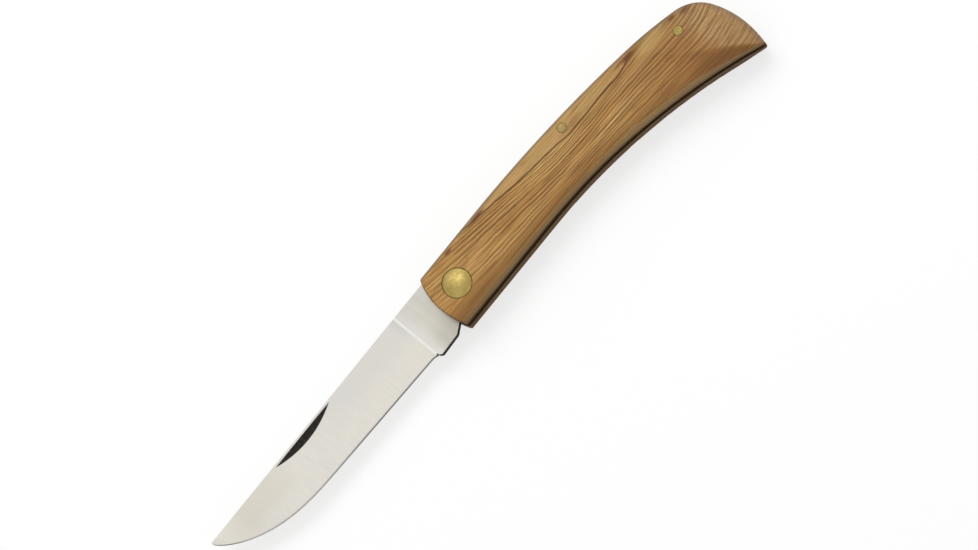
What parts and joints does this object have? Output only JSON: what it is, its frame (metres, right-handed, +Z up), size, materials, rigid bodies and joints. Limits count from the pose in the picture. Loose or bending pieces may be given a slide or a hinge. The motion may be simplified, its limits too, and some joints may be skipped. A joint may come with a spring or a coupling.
{
  "type": "folding pocket knife",
  "caption": "Slip-joint folding pocket knife with olive-wood scales, a satin steel blade with a long nail nick, a brass pivot rivet and brass spring pins.",
  "frame": {"origin": "on the pivot axis, in the plane of the pile-side face that the knife rests on", "axes": "+X along the straight back of the open blade to its tip, +Y to the cutting edge and the slot, +Z up out of the mark side"},
  "size_m": [0.2007, 0.032, 0.0128],
  "materials": {
    "blade_steel": "satin, brushed across the blade",
    "spring_steel": "ground",
    "liner_steel": "ground",
    "olive_wood": "oiled and polished, strong dark grain",
    "rivet_brass": "polished low dome",
    "pin_brass": "peened and dulled"
  },
  "bodies": {
    "handle": {"pile_side_scale": "olive_wood", "pile_side_liner": "liner_steel", "back_spring": "spring_steel", "mark_side_liner": "liner_steel", "mark_side_scale": "olive_wood", "pivot_barrel": "rivet_brass", "pivot_stud": "rivet_brass", "middle_spring_pin": "pin_brass", "end_spring_pin": "pin_brass"},
    "blade": {"blade": "blade_steel"}
  },
  "joints": [
    {"name": "blade_pivot", "type": "hinge", "parent": "handle", "child": "blade", "pos_m": [0, 0, 0.00615], "axis": [0, 0, 1], "range_deg": [0, 174], "deforming": ["back_spring"]}
  ]
}
